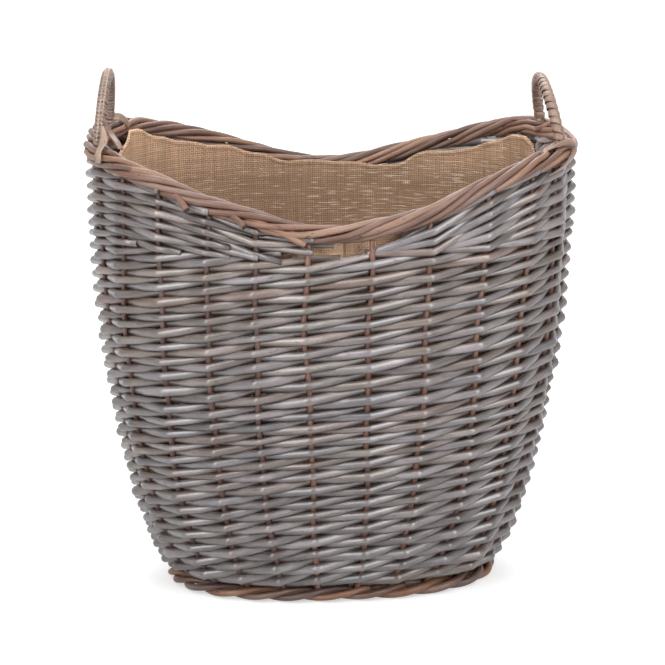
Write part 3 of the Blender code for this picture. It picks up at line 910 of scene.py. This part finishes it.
for count, (colour, turned, strap) in enumerate(lashings):
    last = len(strap) - 1
    fine = np.linspace(0, last, strap_steps * last + 1)
    courses = [np.interp(fine, np.arange(last + 1), column) for column in zip(*strap)]
    for _ in range(strap_smoothings):
        for course in courses:
            course[1:-1] = np.convolve(course, strap_smoothing, "valid")
    places, lifts, outs, widths = courses
    points = wall(places, rim_at(places) + lifts / 1000, outs / 1000)
    middle = wall(places, rim_at(places) - border_drop)
    outward = points - middle + turned
    strips.append((points, outward, widths / 1000, colour, 170 + count, strap_thickness))
straps = strip_piece("handle_lashings", strips)

# The lining: hessian, a plain weave of coarse jute, sewn into a bag whose wall hangs inside the
# siding from stitches below the border. Its top edge is folded over as a hem and ripples.
lining_floor_z = 0.0152
lining_inset, lining_leg_inset = 0.0136, 0.0030
cloth_thickness, hem_thickness = 0.0014, 0.0024
hem_depth, fold_depth = 0.004, 0.0012
ripple_depth, crease_depth, edge_wave_depth = 0.0010, 0.0008, 0.0022
most_outward = 0.0008
lining_columns_per_stake = 16
wall_rows, wall_rows_end, hem_rows, hem_rows_start = 56, 0.94, 14, 0.945
fold_share = 0.35
jute_spacing = 0.0021
thread_wander = 0.0024
weave_depth = 0.0009
jute_colour, gap_colour, slub_colour = srgb(212, 176, 146), srgb(92, 66, 48), srgb(236, 218, 194)

# How far the lining's top edge hangs below the border's top, as places and millimetres
lining_drops = [(-6.5, 50), (-5.4, 34), (-4.2, 16), (-2, 14), (0, 13), (2, 14), (4.4, 16),
                (5.6, 34), (6.5, 50), (7.28, 33), (7.50, 23), (7.72, 13), (8.3, 18), (8.93, 22),
                (9.5, 20.5), (10.04, 21), (10.6, 15.5), (11.03, 15), (11.35, 19), (11.75, 15),
                (12.06, 8), (12.57, 7), (12.9, 3), (13.9, 7.5), (14.4, 10), (15, 12), (15.5, 14.5),
                (16, 16.5), (16.7, 18), (17.1, 12.5), (17.8, 7.5), (17.95, 20), (18.27, 28),
                (19.5, 50)]
edge_softening = (-0.1, 0, 0.1)
edge_ripple, edge_tremble = 0.0012, 0.0008


def lining_edge(place):
    """The height of the lining's top edge."""
    places, drops = zip(*lining_drops)
    near = [np.interp(lap_place(place + aside), places, drops) for aside in edge_softening]
    wave = edge_ripple * np.sin(place * 3.1) + edge_tremble * np.sin(place * 7.7)
    return rim_at(place) - np.mean(near, axis=0) / 1000 + wave


def hessian_finish():
    """Round threads that cross over and under, with dark gaps and thick slubs, and painted shade
    lower down, and painted light on the outer face and from the back's left half round the left
    end.
    """
    finish = Finish("hessian")
    cloth = finish.attribute("cloth")
    around, height_on, outside = (finish.axis(cloth, letter) for letter in "XYZ")
    wander = finish.noise(cloth, (60, 60, 60)) * thread_wander
    warp = finish.maths("SINE", (around + wander) * (math.pi / jute_spacing))
    weft = finish.maths("SINE", (height_on + wander) * (math.pi / jute_spacing))
    round_warp = finish.maths("ABSOLUTE", warp)
    thread = finish.maths("MAXIMUM", round_warp, finish.maths("ABSOLUTE", weft))
    uneven = finish.noise(cloth, (480, 14, 1)) + finish.noise(cloth, (14, 480, 1))
    broad = finish.noise(cloth, (9, 9, 9), detail=3.0)
    shade = finish.between(uneven, 0.75, 1.25, 0.78, 1.16)
    shade = shade * finish.between(broad, 0.3, 0.7, 0.92, 1.08)
    # Painted shade and light: the cloth is darker lower down, and paler on its outer face and from
    # the back's left half round the left end.
    painted_light_and_shade = finish.between(height_on + outside, 0.37, 0.43, 0.60, 1.18) + outside * 0.25
    painted_light_and_shade = painted_light_and_shade * finish.between(around, 0.64, 0.78, 0.98, 1.28)
    colour = finish.tint(jute_colour, shade * painted_light_and_shade)
    colour = finish.blend(finish.between(thread, 0.30, 0.80, 1.0, 0.0) * 0.85, colour, gap_colour)
    slubs = finish.noise(cloth, (56, 620, 1), detail=1.0)
    slub_patches = finish.noise(cloth, (7, 12, 1), detail=1.0)
    slub = finish.between(slubs + slub_patches * 0.25, 0.755, 0.80) * round_warp
    colour = finish.blend(slub * 0.9, colour, slub_colour)
    normal = finish.bump(thread + warp * weft * 0.25 + slub * 0.6, 0.7, weave_depth)
    finish.set(base_color=colour, roughness=0.92, specular_ior_level=0.2, normal=normal)
    return finish


hessian = hessian_finish()


def cloth_piece(name, front, back, cloth):
    """A thin closed ring of cloth between two grids of points. cloth is each point's place in the
    weave, and its third number is 1 on the back, where the hessian finish paints light."""
    rows, columns = front.shape[:2]
    index = np.arange(rows * columns).reshape(rows, columns)
    after = np.roll(index, -1, axis=1)
    quad = np.stack([index[:-1], after[:-1], after[1:], index[1:]], -1).reshape(-1, 4)
    whole = rows * columns
    faces = quad[:, ::-1].tolist() + (quad + whole).tolist()
    for row, turn in ((0, 1), (rows - 1, -1)):
        edge = np.stack([index[row], after[row], after[row] + whole, index[row] + whole], -1)
        faces += edge[:, ::turn].tolist()
    corners = [front.reshape(-1, 3), back.reshape(-1, 3)]
    cloth = [cloth.reshape(-1, 3), cloth.reshape(-1, 3) + [0, 0, 1]]
    return add_piece(name, corners, faces, [hessian], cloth=cloth)


place = np.arange(stake_count * lining_columns_per_stake) / lining_columns_per_stake
top = lining_edge(place)
share = np.r_[np.linspace(0, wall_rows_end, wall_rows), np.linspace(hem_rows_start, 1, hem_rows)]
share = share[:, None]
z = lining_floor_z + (top - lining_floor_z) * share
inset = lining_inset + lining_leg_inset * leg_share(place)
ripple = ripple_depth * np.sin(place * 4.1 + share * 5)
ripple = ripple + crease_depth * np.sin(place * 9.3 - share * 11) * share
edge_wave = edge_wave_depth * np.sin(place * 5.3 + 1) * np.sin(place * 1.9) * share ** 12
out = -inset + np.minimum(ripple, most_outward) - np.abs(edge_wave)
front = wall(place, z, out)
below_edge = top - z
thickness = np.where(below_edge < hem_depth, hem_thickness, cloth_thickness)
thickness = thickness * np.clip(below_edge / fold_depth + fold_share, 0, 1)
back = wall(place, z, out - thickness)
around = run_along(front[(wall_rows + hem_rows) // 2])
cloth = np.stack(np.broadcast_arrays(around, z, 0.0), -1)
lining = cloth_piece("lining_bag_wall", back, front, cloth)
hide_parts("lining_wall")

# The lining's floor: an oval of the same hessian, laid on the base and sewn to the wall's lower
# edge. It puckers a little along the seam.
floor_rings = 16
floor_middle_share = 0.004
floor_columns_per_stake = 8
floor_lift = 0.0008
pucker_depth, middle_wave_depth = 0.0007, 0.0006
floor_place_in_weave = [0.7, 0.3, 0]
place = np.arange(stake_count * floor_columns_per_stake) / floor_columns_per_stake
floor_inset = lining_inset + lining_leg_inset * leg_share(place) + cloth_thickness / 2
rim = wall(place, lining_floor_z, -floor_inset)
share = np.linspace(floor_middle_share, 1, floor_rings)[:, None]
floor_top = rim * share[..., None]
pucker = pucker_depth * np.sin(place * 6.1) * share ** 3
pucker = pucker + middle_wave_depth * np.sin(floor_top[..., 0] * 60) * (1 - share)
floor_top[..., 2] = lining_floor_z + cloth_thickness + floor_lift + pucker
floor_bottom = floor_top - [0, 0, cloth_thickness]
# The floor's place in the weave also sets its painted light: its upper face takes the outer face's
# painted light, and it is painted paler towards the right.
cloth = floor_top * [1, 1, 0] + floor_place_in_weave
lining_floor = cloth_piece("lining_bag_floor", floor_bottom, floor_top, cloth)
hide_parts("lining_floor")
